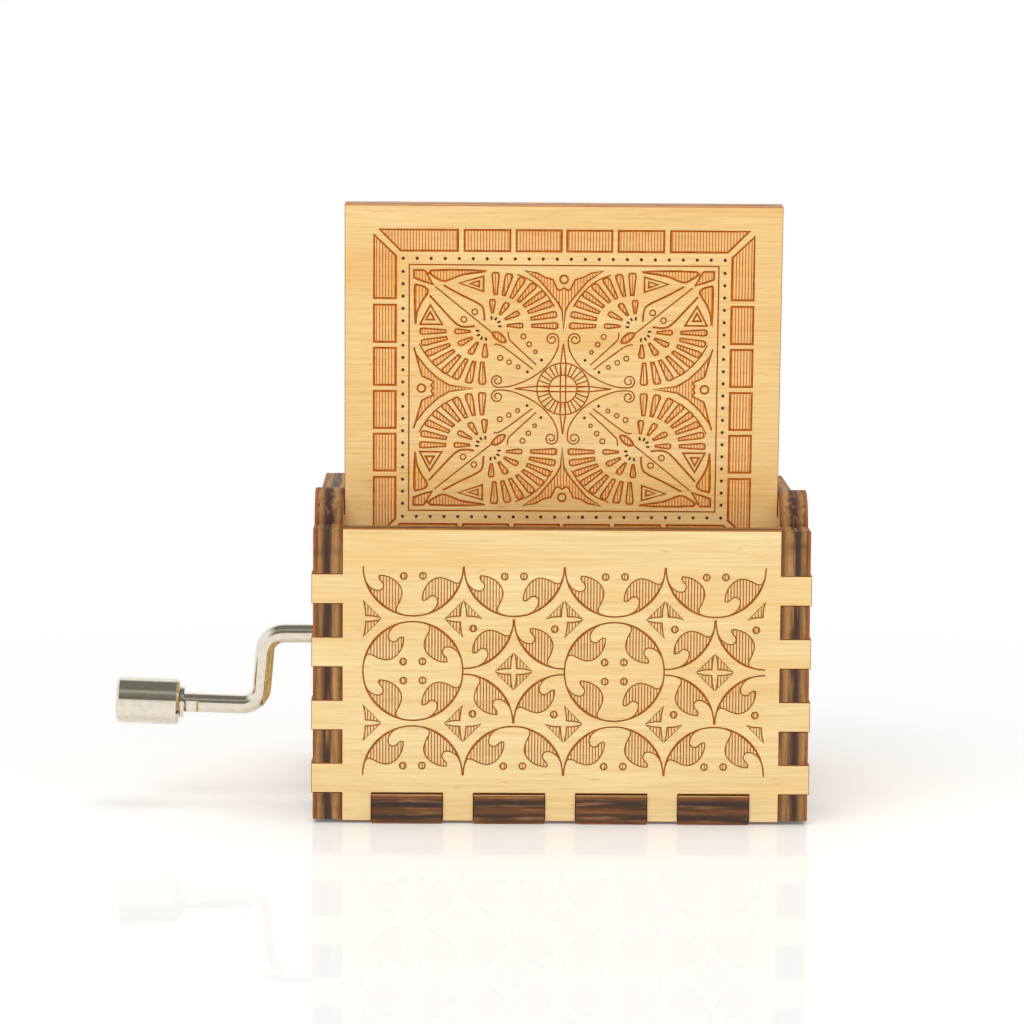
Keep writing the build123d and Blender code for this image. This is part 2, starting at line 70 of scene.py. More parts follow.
bpy.ops.object.camera_add()
camera = bpy.context.object
camera.name = "camera"
camera.matrix_world = Matrix.Translation(CAMERA_AT) @ turn
camera.data.sensor_width = SENSOR
camera.data.lens = LENS
camera.data.clip_start = 0.01
camera.data.clip_end = 20
bpy.context.scene.camera = camera
bpy.context.scene.view_settings.view_transform = "Standard"


def linear(colour):
    """An sRGB hex value as linear RGBA."""
    parts = [int(colour[i:i + 2], 16) / 255 for i in (1, 3, 5)]
    return [p / 12.92 if p <= 0.04045 else ((p + 0.055) / 1.055) ** 2.4 for p in parts] + [1.0]


WHITE = linear("#ffffff")


def node(tree, kind, links=None, **settings):
    """Adds one shader node: settings are its own values, links feed or set its inputs."""
    made = tree.nodes.new(kind)
    for name, value in settings.items():
        setattr(made, name, value)
    for socket, value in (links or {}).items():
        if isinstance(value, bpy.types.NodeSocket):
            tree.links.new(value, made.inputs[socket])
        else:
            made.inputs[socket].default_value = value
    return made


def soft_light(name, at, size, power, aim=(0, 0, 30)):
    """A square softbox that faces the music box and isn't mirrored in its metal."""
    bpy.ops.object.light_add(type="AREA", location=Vector(at) * MM)
    lamp = bpy.context.object
    lamp.name = name
    lamp.data.size = size * MM
    lamp.data.energy = power
    lamp.visible_glossy = False
    lamp.rotation_euler = (Vector(aim) * MM - lamp.location).to_track_quat("-Z", "Y").to_euler()


soft_light("key_softbox", (-260, -420, 520), 420, 2.0)
soft_light("fill_softbox", (420, -460, 300), 460, 0.9)
soft_light("top_softbox", (40, 60, 620), 380, 1.6)

# The room: a white sweep behind and below, white walls left and right, and an unlit
# ceiling and camera side, which bright metal mirrors as a dark stripe. The stripe's
# shades lie by the angle over the camera's horizon, counted in half turns.
DARK_STRIPE = (
    (0.055, "#f6f3ea"), (0.080, "#6e6f69"), (0.22, "#85867f"), (0.30, "#b4b5ad"),
    (0.37, "#787973"), (0.66, "#7d7e77"), (0.73, "#ffffff"),
)
STRIPE_ENDS, WALLS_BEGIN = 0.45, 0.75      # how far to the side a direction points
ROOM_LIGHT = 0.52
world = bpy.data.worlds.new("white_studio")
bpy.context.scene.world = world
world.use_nodes = True
room = world.node_tree
room.nodes.clear()
ray = node(room, "ShaderNodeLightPath")
way = node(room, "ShaderNodeTexCoord")
split = node(room, "ShaderNodeSeparateXYZ", {0: way.outputs["Generated"]})
front = node(room, "ShaderNodeMath", {0: split.outputs["Y"], 1: -1.0}, operation="MULTIPLY")
rise = node(room, "ShaderNodeMath", {
    0: split.outputs["Z"], 1: front.outputs[0],
}, operation="ARCTAN2")
half_turns = node(room, "ShaderNodeMapRange", {0: rise.outputs[0], 1: 0.0, 2: pi, 3: 0.0, 4: 1.0})
stripe = node(room, "ShaderNodeValToRGB", {0: half_turns.outputs[0]})
stripe.color_ramp.elements[0].color = linear(DARK_STRIPE[0][1])
stripe.color_ramp.elements[1].color = linear(DARK_STRIPE[-1][1])
for place, shade in DARK_STRIPE:
    stripe.color_ramp.elements.new(place).color = linear(shade)
aside = node(room, "ShaderNodeMath", {0: split.outputs["X"]}, operation="ABSOLUTE")
aside = node(room, "ShaderNodeMapRange", {
    0: aside.outputs[0], 1: STRIPE_ENDS, 2: WALLS_BEGIN, 3: 0.0, 4: 1.0,
})
walls = node(room, "ShaderNodeMix", {
    0: aside.outputs[0], 6: stripe.outputs[0], 7: WHITE,
}, data_type="RGBA")
plain = node(room, "ShaderNodeBackground", {0: WHITE, 1: ROOM_LIGHT})
gloss = node(room, "ShaderNodeBackground", {0: walls.outputs[2], 1: 1.0})
shown = node(room, "ShaderNodeBackground", {0: WHITE, 1: 1.0})
lit = node(room, "ShaderNodeMixShader", {
    0: ray.outputs["Is Glossy Ray"], 1: plain.outputs[0], 2: gloss.outputs[0],
})
clear = node(room, "ShaderNodeMath", {
    0: ray.outputs["Is Camera Ray"], 1: ray.outputs["Is Transmission Ray"],
}, operation="MAXIMUM")
seen = node(room, "ShaderNodeMixShader", {0: clear.outputs[0], 1: lit.outputs[0], 2: shown.outputs[0]})
node(room, "ShaderNodeOutputWorld", {0: seen.outputs[0]})


def material(name):
    """An empty material and its shader tree."""
    made = bpy.data.materials.new(name)
    made.use_nodes = True
    made.node_tree.nodes.clear()
    return made, made.node_tree


def finish_surface(tree, shader):
    """Ends a shader tree."""
    node(tree, "ShaderNodeOutputMaterial", {0: shader.outputs[0]})


# The table top is a white acrylic sheet. Close to the box it takes its shadows, is a little
# grey there as painted shade round the box, and mirrors it faintly. Farther away it is plain
# white to the lens and to bright metal.
TABLE_SIZE = 6
SHADE_FROM, SHADE_TO = 0.042, 0.17         # in metres from the middle of the box
SHINE_FROM, SHINE_TO = 0.10, 0.30
GLOW_BY_BOX = 0.15
SHINE_BY_BOX = 0.38
ACRYLIC_IOR = 1.49

bpy.ops.mesh.primitive_plane_add(size=TABLE_SIZE, location=(0, 0, 0))
table = bpy.context.object
table.name = "white_table"
white_acrylic, tree = material("white_acrylic")
where = node(tree, "ShaderNodeTexCoord")
away = node(tree, "ShaderNodeVectorMath", {0: where.outputs["Object"]}, operation="LENGTH")
paled = node(tree, "ShaderNodeMapRange", {
    0: away.outputs["Value"], 1: SHADE_FROM, 2: SHADE_TO, 3: GLOW_BY_BOX, 4: 1.0,
})
ray = node(tree, "ShaderNodeLightPath")
to_lens = node(tree, "ShaderNodeMath", {
    0: ray.outputs["Is Camera Ray"], 1: ray.outputs["Is Glossy Ray"],
}, operation="MAXIMUM")
paled = node(tree, "ShaderNodeMath", {0: paled.outputs[0], 1: to_lens.outputs[0]}, operation="MULTIPLY")
# A little grey: painted shade that rings the box in a soft halo, over its real shadows.
matt = node(tree, "ShaderNodeBsdfDiffuse", {"Color": linear("#f0eeeb")})
white = node(tree, "ShaderNodeEmission", {"Color": WHITE, "Strength": 1.0})
sheet = node(tree, "ShaderNodeMixShader", {0: paled.outputs[0], 1: matt.outputs[0], 2: white.outputs[0]})
mirror = node(tree, "ShaderNodeBsdfGlossy", {"Color": WHITE, "Roughness": 0.03})
shine = node(tree, "ShaderNodeMapRange", {
    0: away.outputs["Value"], 1: SHINE_FROM, 2: SHINE_TO, 3: SHINE_BY_BOX, 4: 0.0,
})
grazing = node(tree, "ShaderNodeFresnel", {"IOR": ACRYLIC_IOR})
shine = node(tree, "ShaderNodeMath", {0: shine.outputs[0], 1: grazing.outputs[0]}, operation="MULTIPLY")
finish_surface(tree, node(tree, "ShaderNodeMixShader", {
    0: shine.outputs[0], 1: sheet.outputs[0], 2: mirror.outputs[0],
}))
table.data.materials.append(white_acrylic)


# ---------------------------------------------------------------- base plate
# The bottom board that the movement is screwed to, of birch plywood 3.7 mm thick. It
# is cut by laser, and its tabs are glued into notches in the panels and side walls.
PLY = 3.7
WALL_X = 31.8
PANEL_Y = 25.7
INNER_X = WALL_X - PLY
INNER_Y = PANEL_Y - PLY
FIBRES_PER_MM = 3.2        # real fibres are finer, and are drawn as coarse as they show
FIBRE_MM = 9.0             # length of a fibre streak
CLOUD_MM = 5.0             # width of the soft bands of darker wood
FLECKS_PER_MM = 2.4
FLECK_MM = 3.0             # length of a dark fleck
EDGE_STREAKS_PER_MM = 2.2  # streaks that the laser leaves along a cut edge
EDGE_STREAK_MM = 7.0
PLY_WANDER = 0.07          # how far the plies stray on an edge, of the thickness
FIBRE_BUMP_MM = 0.04

# Scorched plies from the inner face to the outer one: brown outer plies, dark core.
BOARD_PLIES = (
    (0.00, "#6b4326"), (0.08, "#7e532f"), (0.19, "#ac7f49"), (0.31, "#9a6f42"), (0.39, "#60412a"),
    (0.46, "#463129"), (0.56, "#3f2f29"), (0.63, "#533a28"), (0.70, "#8d6339"), (0.80, "#a67a45"),
    (0.90, "#7a4c2a"), (0.96, "#ad6330"), (1.00, "#a2531f"),
)
# The base is five-ply, with two dark cross plies, and its cut edges are sootier.
BASE_PLIES = (
    (0.00, "#8a5730"), (0.07, "#6e4529"), (0.16, "#4e3726"), (0.25, "#3d3026"), (0.33, "#4e3a28"),
    (0.42, "#73492c"), (0.51, "#6f4526"), (0.59, "#543a27"), (0.68, "#3d3029"), (0.79, "#3f3129"),
    (0.88, "#6c4428"), (1.00, "#9c6030"),
)


def grain_noise(tree, spot, along, across_per_mm, length_mm, detail=3.0):
    """Noise drawn out along the grain, which lies along the X, Y or Z axis."""
    scale = [across_per_mm / MM] * 3
    scale["XYZ".index(along)] = 1 / (length_mm * MM)
    stretched = node(tree, "ShaderNodeMapping", {0: spot, 3: scale})
    return node(tree, "ShaderNodeTexNoise", {
        0: stretched.outputs[0], "Scale": 1.0, "Detail": detail,
    }).outputs[0]


def mixed(tree, factor, first, second):
    """One colour over another."""
    return node(tree, "ShaderNodeMix", {0: factor, 6: first, 7: second}, data_type="RGBA").outputs[2]


def stepped(tree, value, low, high, out_low=0.0, out_high=1.0):
    """A value taken from one range to another."""
    return node(tree, "ShaderNodeMapRange", {
        0: value, 1: low, 2: high, 3: out_low, 4: out_high,
    }).outputs[0]


def sized(tree, value):
    """A value without its sign."""
    return node(tree, "ShaderNodeMath", {0: value}, operation="ABSOLUTE").outputs[0]


def board_place(tree, tilt):
    """Place and facing on a board. tilt lays the lid's board back flat about its hinge."""
    where = node(tree, "ShaderNodeTexCoord")
    spot, facing = where.outputs["Object"], where.outputs["Normal"]
    if tilt:
        pivot = [-p for p in joints["lid_hinge"]["pos_m"]]
        spot = node(tree, "ShaderNodeVectorMath", {0: spot, 1: pivot}, operation="ADD").outputs[0]
        spot, facing = [
            node(tree, "ShaderNodeVectorRotate", {
                0: vector, "Angle": -tilt,
            }, rotation_type="X_AXIS").outputs[0]
            for vector in (spot, facing)
        ]
    return spot, facing


def cut_birch(name, across, start, along, plies, faces, tilt=0.0):
    """Laser-cut birch ply. across is the axis through its thickness, which begins at start
    from the middle of the box, and along is the grain's. faces are pale, warm and fleck.
    The last number of a stepped() noise is the most that its shade covers."""
    made, tree = material(name)
    spot, facing = board_place(tree, tilt)
    flat_axes = [axis for axis in "XYZ" if axis != across]
    place = node(tree, "ShaderNodeSeparateXYZ", {0: spot})
    looks = node(tree, "ShaderNodeSeparateXYZ", {0: facing})

    pale, warm, fleck = [linear(shade) for shade in faces]
    fibres = grain_noise(tree, spot, along, FIBRES_PER_MM, FIBRE_MM, 4.0)
    bands = grain_noise(tree, spot, along, 1 / CLOUD_MM, CLOUD_MM * 9, 3.0)
    flecks = grain_noise(tree, spot, along, FLECKS_PER_MM, FLECK_MM, 2.0)
    face = mixed(tree, stepped(tree, bands, 0.36, 0.66), pale, warm)
    face = mixed(tree, stepped(tree, fibres, 0.36, 0.76, 0.0, 0.44), face, fleck)
    face = mixed(tree, stepped(tree, flecks, 0.66, 0.80, 0.0, 0.60), face, fleck)

    # Streaks on a cut edge run along it: along one flat axis where it faces the other.
    first, second = [
        grain_noise(tree, spot, axis, EDGE_STREAKS_PER_MM, EDGE_STREAK_MM, 4.0) for axis in flat_axes
    ]
    faces_first = stepped(tree, sized(tree, looks.outputs[flat_axes[0]]), 0.4, 0.6)
    streaks = node(tree, "ShaderNodeMix", {
        0: faces_first, 2: first, 3: second,
    }, data_type="FLOAT").outputs[0]
    through = place.outputs[across] if start < 0 else sized(tree, place.outputs[across])
    depth = stepped(tree, through, start * MM, (start + PLY) * MM)
    wander = stepped(tree, streaks, 0.25, 0.75, -PLY_WANDER, PLY_WANDER)
    depth = node(tree, "ShaderNodeMath", {0: depth, 1: wander}, operation="ADD").outputs[0]
    ramp = node(tree, "ShaderNodeValToRGB", {0: depth})
    ramp.color_ramp.elements[0].color = linear(plies[0][1])
    ramp.color_ramp.elements[1].color = linear(plies[-1][1])
    for at, shade in plies[1:-1]:
        ramp.color_ramp.elements.new(at).color = linear(shade)
    soot = stepped(tree, streaks, 0.50, 0.72, 0.0, 0.55)
    edge = mixed(tree, soot, ramp.outputs[0], linear("#34231a"))
    bare_wood = stepped(tree, streaks, 0.46, 0.28, 0.0, 0.45)
    edge = mixed(tree, bare_wood, edge, linear("#cf9458"))
    burns = grain_noise(tree, spot, across, 0.45, 3.0, 3.0)
    edge = mixed(tree, stepped(tree, burns, 0.50, 0.75, 0.0, 0.40), edge, linear("#3d2719"))

    on_face = stepped(tree, sized(tree, looks.outputs[across]), 0.65, 0.75)
    bump = node(tree, "ShaderNodeBump", {
        "Height": fibres, "Strength": 0.20, "Distance": FIBRE_BUMP_MM * MM,
    })
    finish_surface(tree, node(tree, "ShaderNodeBsdfPrincipled", {
        "Base Color": mixed(tree, on_face, edge, face),
        "Roughness": 0.58,
        "Specular IOR Level": 0.32,
        "Normal": bump.outputs[0],
    }))
    return made


def show_material(obj, *finishes):
    """Takes off an object's materials and gives it others."""
    obj.data.materials.clear()
    for finish in finishes:
        obj.data.materials.append(finish)


PALE_BIRCH = ("#f1daa3", "#eccb8c", "#d3a05a")
base_birch = cut_birch("birch_base", "Z", 0.0, "X", BASE_PLIES, PALE_BIRCH)
show_material(nodes["base_plate"], base_birch)


# ---------------------------------------------------------------- rear panel
# The board on the hinge side, with four fingers at each end and notches for the tabs
# of the base. Its leaf and circle ornament is engraved by laser before it is glued.
CASE_HALF = 32.0
GLUE_GAP = 0.04
PANEL_LIFT = 0.3
REAR_TOP = 38.1
FINGERS = [(3.94 + 8.17 * i, 7.79 + 8.17 * i) for i in range(4)]
PANEL_TABS = [13.13 * (i - 1.5) for i in range(4)]
PANEL_NOTCH_HALF = 4.53 + GLUE_GAP
NOTCH_TOP = 3.95

GROOVE_DEEP = 0.12          # depth of the engraving
RIM = 0.09                  # scorched rim that the laser leaves along each cut edge
HATCH_STEP = 0.39
HATCH_W = 0.16
SHORTEST_HATCH = 0.25
LONGEST_MITRE = 2.0         # how far a sharp corner may reach, of half the line's width
LINE, HATCH, DOT = 1, 2, 3  # material slots of the tones


def is_left_turn(shape):
    """Whether an outline goes round with its inside on the left."""
    area = sum(a[0] * b[1] - b[0] * a[1] for a, b in zip(shape, shape[1:] + shape[:1]))
    return area > 0


def is_bulging(shape):
    """Whether a left-turning outline has no dent or crossing."""
    loop = list(shape) + list(shape[:2])
    return all(
        (b[0] - a[0]) * (c[1] - b[1]) - (b[1] - a[1]) * (c[0] - b[0]) > 1e-6
        for a, b, c in zip(loop, loop[1:], loop[2:])
    )


def stroke(points, width, closed=False, tone=LINE):
    """Four-sided cuts that make a line of even width through points."""
    points = list(points) + ([points[0]] if closed else [])
    steps = [(b[0] - a[0], b[1] - a[1]) for a, b in zip(points, points[1:])]
    ways = [(dx / hypot(dx, dy), dy / hypot(dx, dy)) for dx, dy in steps]
    sides = []
    for i, (x, y) in enumerate(points):
        near = ways[max(i - 1, 0):i + 1]
        if closed and i in (0, len(points) - 1):
            near = [ways[0], ways[-1]]
        dx, dy = sum(w[0] for w in near), sum(w[1] for w in near)
        run = hypot(dx, dy) or 1.0
        reach = width / 2 * min(len(near) / run, LONGEST_MITRE)
        nx, ny = -dy / run * reach, dx / run * reach
        sides.append(((x + nx, y + ny), (x - nx, y - ny)))
    cuts = []
    for i, (dx, dy) in enumerate(ways):
        piece = (sides[i][0], sides[i][1], sides[i + 1][1], sides[i + 1][0])
        if not is_bulging(piece):
            nx, ny = -dy * width / 2, dx * width / 2
            (ax, ay), (bx, by) = points[i], points[i + 1]
            piece = (
                (ax + nx, ay + ny), (ax - nx, ay - ny), (bx - nx, by - ny), (bx + nx, by + ny),
            )
        cuts.append((tone, piece))
    return cuts


def hatching(outline):
    """Upright lines inside a closed outline, on one grid for the whole board."""
    cuts = []
    first = int(min(p[0] for p in outline) / HATCH_STEP) - 1
    last = int(max(p[0] for p in outline) / HATCH_STEP) + 1
    for column in range(first, last + 1):
        x = (column + 0.5) * HATCH_STEP
        ends = []
        for (ax, ay), (bx, by) in zip(outline, outline[1:] + outline[:1]):
            if (ax - x) * (bx - x) < 0:
                ends.append(ay + (by - ay) * (x - ax) / (bx - ax))
        ends.sort()
        for low, high in zip(ends[::2], ends[1::2]):
            if high - low > SHORTEST_HATCH:
                cuts += stroke([(x, low), (x, high)], HATCH_W, tone=HATCH)
    return cuts


def hatched(outline, width):
    """A shape with a bold outline, filled with hatching."""
    return stroke(outline, width, closed=True) + hatching(outline)


def arc(x, y, radius, start, end, steps):
    """Points on part of a circle, from one angle in degrees to another."""
    angles = [radians(start + (end - start) * i / steps) for i in range(steps + 1)]
    return [(x + radius * cos(a), y + radius * sin(a)) for a in angles]


def circle(x, y, radius, count=12):
    """Points right round a circle."""
    return arc(x, y, radius, 0, 360 - 360 / count, count - 1)


def ring(x, y, radius, width, count=12):
    """A circle drawn as a line."""
    return stroke(circle(x, y, radius, count), width, closed=True)


def curved(points, closed=False, steps=4):
    """A smooth line through a few points."""
    count = len(points)
    line = []
    for i in range(count if closed else count - 1):
        if closed:
            p = [points[(i + k - 1) % count] for k in range(4)]
        else:
            p = [points[min(max(i + k - 1, 0), count - 1)] for k in range(4)]
        for s in range(steps):
            t = s / steps
            weights = (
                -t + 2 * t * t - t ** 3, 2 - 5 * t * t + 3 * t ** 3,
                t + 4 * t * t - 3 * t ** 3, t ** 3 - t * t,
            )
            line.append(tuple(
                sum(weights[k] * p[k][axis] for k in range(4)) / 2 for axis in (0, 1)
            ))
    return line if closed else line + [points[-1]]


def turned(points, angle):
    """Points turned to the left about the origin."""
    c, s = cos(radians(angle)), sin(radians(angle))
    return [(x * c - y * s, x * s + y * c) for x, y in points]


def moved(cuts, x, y, x_sign=1, y_sign=1):
    """Cuts mirrored where a sign is negative, and set down at x, y."""
    return [
        (tone, tuple((x + px * x_sign, y + py * y_sign) for px, py in shape)) for tone, shape in cuts
    ]


def grown(loop, distance):
    """A closed loop with every side set to its left by a distance."""
    made = []
    for i, (x, y) in enumerate(loop):
        (ax, ay), (bx, by) = loop[i - 1], loop[(i + 1) % len(loop)]
        d1, d2 = hypot(x - ax, y - ay), hypot(bx - x, by - y)
        n1 = (-(y - ay) / d1, (x - ax) / d1)
        n2 = (-(by - y) / d2, (bx - x) / d2)
        share = distance / (1 + n1[0] * n2[0] + n1[1] * n2[1])
        made.append((x + (n1[0] + n2[0]) * share, y + (n1[1] + n2[1]) * share))
    return made


def carved_board(name, outline, holes, cuts, place, finishes):
    """One closed mesh of a board with cuts sunk into its outer face.

    The outline turns left and the holes turn right. place takes x, y and the height over
    the outer face, in millimetres, to a point. finishes are birch and then each tone."""
    loops = [list(outline)] + [list(hole) for hole in holes]
    inner = [grown(loop, RIM) for loop in loops]
    points = []
    faces = []
    slots = []
    known = {}

    def corner(x, y, height):
        key = (round(x, 4), round(y, 4), height)
        if key not in known:
            known[key] = len(points)
            points.append(place(x, y, height))
        return known[key]

    def add(slot, *corners):
        faces.append([corner(*c) for c in corners])
        slots.append(slot)

    def tiled(shapes):
        """Triangles of overlapping shapes, each with the shapes that it lies in."""
        corners = []
        rings = []
        for shape in shapes:
            shape = shape if is_left_turn(shape) else shape[::-1]
            rings.append(list(range(len(corners), len(corners) + len(shape))))
            corners += [Vector(p) for p in shape]
        spots, _, tiles, _, _, owners = delaunay_2d_cdt(corners, [], rings, 1, 1e-5)
        for tile, owner in zip(tiles, owners):
            if 0 in owner and not any(0 < o < len(loops) for o in owner):
                yield [tuple(spots[i]) for i in tile], tile, owner

    tones = [0] * len(loops) + [tone for tone, _ in cuts]
    levels = {}
    for tile, ids, owner in tiled(inner + [shape for _, shape in cuts]):
        tone = min((tones[o] for o in owner if tones[o]), default=0)
        height = -GROOVE_DEEP if tone else 0.0
        add(tone, *[(x, y, height) for x, y in tile])
        for a, b, ends in zip(ids, ids[1:] + ids[:1], zip(tile, tile[1:] + tile[:1])):
            levels[(a, b)] = (height, tone, ends)
    for (a, b), (height, _, (p, q)) in levels.items():
        other, tone = levels.get((b, a), (0.0, 0, 0))[:2]
        if height > other:
            add(tone, (*p, height), (*p, other), (*q, other), (*q, height))
    for loop, edge in zip(inner, loops):
        for i in range(len(loop)):
            a, b, c, d = loop[i - 1], edge[i - 1], edge[i], loop[i]
            add(LINE, (*a, 0.0), (*b, -RIM), (*c, -RIM), (*d, 0.0))
            add(0, (*b, -RIM), (*b, -PLY), (*c, -PLY), (*c, -RIM))
    for tile, _, _ in tiled(loops):
        add(0, *[(x, y, -PLY) for x, y in reversed(tile)])

    mesh = bpy.data.meshes.new(name)
    mesh.from_pydata(points, [], faces)
    board = bpy.data.objects.new(name, mesh)
    bpy.context.scene.collection.objects.link(board)
    show_material(board, *finishes)
    mesh.polygons.foreach_set("material_index", slots)
    mesh.update()
    return board


def scorched(name, dark, light):
    """Wood browned by the laser, unevenly: a matt line with no sheen."""
    made, tree = material(name)
    spot = node(tree, "ShaderNodeTexCoord").outputs["Object"]
    patches = grain_noise(tree, spot, "X", 1.4, 1.0)
    finish_surface(tree, node(tree, "ShaderNodeBsdfPrincipled", {
        "Base Color": mixed(tree, stepped(tree, patches, 0.32, 0.70), linear(dark), linear(light)),
        "Roughness": 0.75,
        "Specular IOR Level": 0.2,
    }))
    return made


# The ornament: circles on a square grid, cut to half circles in the upper and lower
# rows. Between whole circles four quarter circles leave a hollow four-pointed figure.
CIRCLE_R = 6.4
COLUMN = 6.45              # half the distance from circle to circle, across and up
ROW = 6.76
PATTERN_Z = 19.8
CIRCLE_W = 0.20
LEAF_W = 0.16
STAR_W = 0.17
SWELL = 0.022              # how far the line under a leaf swells inward, of the radius
STAR_R = 2.3
DOT_R = 0.42
DOT_LINE_W = 0.19
DOT_AT = (-0.195, 0.19)
# A leaf and a star's corner in the upper left quarter, with the radius as 1. The leaf
# begins and ends on the circle, and its third side follows the circle.
LEAF = [
    (-0.975, 0.20), (-0.935, 0.305), (-0.89, 0.335), (-0.816, 0.325), (-0.70, 0.265), (-0.54, 0.222),
    (-0.41, 0.255), (-0.30, 0.345), (-0.21, 0.50), (-0.185, 0.675), (-0.268, 0.668), (-0.335, 0.605),
    (-0.412, 0.591), (-0.484, 0.646), (-0.484, 0.755), (-0.427, 0.856), (-0.36, 0.915), (-0.27, 0.96),
]
LEAF_RIM = (106, 168, 12)
STAR_CORNER = [
    (-0.04, 1.0), (-0.10, 0.80), (-0.15, 0.55), (-0.17, 0.17), (-0.55, 0.15), (-0.80, 0.10), (-1.0, 0.04),
]


def circle_quarter(x, y, quarter):
    """A quarter circle with its hooked leaf and dot. Quarter 0 is upper left, then clockwise."""
    def spin(points):
        return [(x + CIRCLE_R * px, y + CIRCLE_R * py) for px, py in turned(points, -90 * quarter)]

    swells = [1 - SWELL * sin(pi * i / LEAF_RIM[2]) for i in range(LEAF_RIM[2] + 1)]
    rim = [(px * swell, py * swell) for swell, (px, py) in zip(swells, arc(0, 0, 1, *LEAF_RIM))]
    cuts = stroke(spin(arc(0, 0, 1, 90, 180, 12)), CIRCLE_W)
    cuts += hatched(spin(curved(LEAF, steps=2) + rim[1:-1]), LEAF_W)
    dot = circle(*spin([DOT_AT])[0], DOT_R)
    return cuts + stroke(dot, DOT_LINE_W, closed=True) + hatching(dot)


def star_corners(x, y, quarters):
    """Hatched corners round a bare four-pointed star."""
    cuts = []
    for quarter in quarters:
        corner = turned(STAR_CORNER, -90 * quarter)
        cuts += hatched([(x + STAR_R * px, y + STAR_R * py) for px, py in corner], STAR_W)
    return cuts


def leaf_pattern(columns, middle):
    """Whole circles in every second column, from the left one."""
    cuts = []
    for i in range(columns):
        x = middle + (2 * i - columns + 1) * COLUMN
        for quarter in (2, 3):
            cuts += circle_quarter(x, PATTERN_Z + 2 * ROW, quarter)
            cuts += circle_quarter(x, PATTERN_Z - 2 * ROW, quarter - 2)
        if i % 2 == 0:
            for quarter in range(4):
                cuts += circle_quarter(x, PATTERN_Z, quarter)
        else:
            for dx, dy, quarter in ((-1, 1, 2), (1, 1, 3), (1, -1, 0), (-1, -1, 1)):
                cuts += circle_quarter(x + COLUMN * dx, PATTERN_Z + ROW * dy, quarter)
            cuts += star_corners(x, PATTERN_Z, range(4))
    for i in range(columns + 1):
        x = middle + (2 * i - columns) * COLUMN
        upper = [0] * (i > 0) + [3] * (i > 0 and i % 2 == 1)
        upper += [1] * (i < columns) + [2] * (i < columns and i % 2 == 0)
        cuts += star_corners(x, PATTERN_Z + ROW, upper)
        cuts += star_corners(x, PATTERN_Z - ROW, [3 - quarter for quarter in upper])
    return cuts


def panel_outline(top):
    """A panel's outline in X and Z, whose fingers lie between the sockets of the walls."""
    edge = INNER_X - GLUE_GAP
    end = [(edge, PANEL_LIFT)]
    for low, high in FINGERS:
        end += [(edge, low), (CASE_HALF, low), (CASE_HALF, high), (edge, high)]
    end.append((edge, top))
    foot = []
    for x in PANEL_TABS:
        foot += [(x - PANEL_NOTCH_HALF, PANEL_LIFT), (x - PANEL_NOTCH_HALF, NOTCH_TOP),
                 (x + PANEL_NOTCH_HALF, NOTCH_TOP), (x + PANEL_NOTCH_HALF, PANEL_LIFT)]
    return end + [(-x, z) for x, z in reversed(end)] + foot


def on_rear(x, z, height):
    """A point of the rear panel, seen from outside."""
    return Vector((x, -PANEL_Y - height, z)) * MM


rear_birch = cut_birch("birch_rear", "Y", INNER_Y, "X", BOARD_PLIES, PALE_BIRCH)
panel_line = scorched("panel_engraved_line", "#9e5018", "#bd6d2a")
panel_hatch = scorched("panel_engraved_hatch", "#bb7029", "#d58f45")
panel_tones = (panel_line, panel_hatch)
carved_rear = carved_board(
    "carved_rear_panel", panel_outline(REAR_TOP), [], leaf_pattern(4, 0.35), on_rear,
    (rear_birch, *panel_tones))
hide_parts("rear_panel")
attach(carved_rear, "case")


# ---------------------------------------------------------------- front panel
# The same board at the other end of the box, 2.4 mm lower, so that the closed lid can
# lie over it. It carries the same ornament and is glued in the same way.
FRONT_TOP = 35.75
FRONT_BIRCH = ("#efd69d", "#e9c685", "#cf9a54")


def on_front(x, z, height):
    """A point of the front panel, seen from outside."""
    return Vector((-x, PANEL_Y + height, z)) * MM


front_birch = cut_birch("birch_front", "Y", INNER_Y, "X", BOARD_PLIES, FRONT_BIRCH)
carved_front = carved_board(
    "carved_front_panel", panel_outline(FRONT_TOP), [], leaf_pattern(4, 0.0), on_front,
    (front_birch, *panel_tones))
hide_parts("front_panel")
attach(carved_front, "case")


# ---------------------------------------------------------------- side walls
# Two boards whose sockets take the fingers of the panels. Each has a round ear with a
# hole for the lid's tenon, and the left one has the hole that the crank comes through.
WALL_TOP = 39.6
WALL_LIFT = 0.5
PIVOT = (-16.1, 37.7)
EAR_R = 4.6
EAR_FILLET = 1.6
TENON_HOLE_R = 2.452
CRANK_AT = (-13.6, 22.8)
CRANK_HOLE_R = 1.24 + 0.95
WALL_TABS = [-13.4, 0.0, 13.4]
WALL_NOTCH_HALF = 3.8 + GLUE_GAP
CLEAR_OF_HOLE = 2.4        # the ornament stops this far from the middle of the crank hole
LEFT_BIRCH = ("#efd79f", "#e9c586", "#d09b55")
RIGHT_BIRCH = ("#f0d8a0", "#ebc988", "#d29e58")


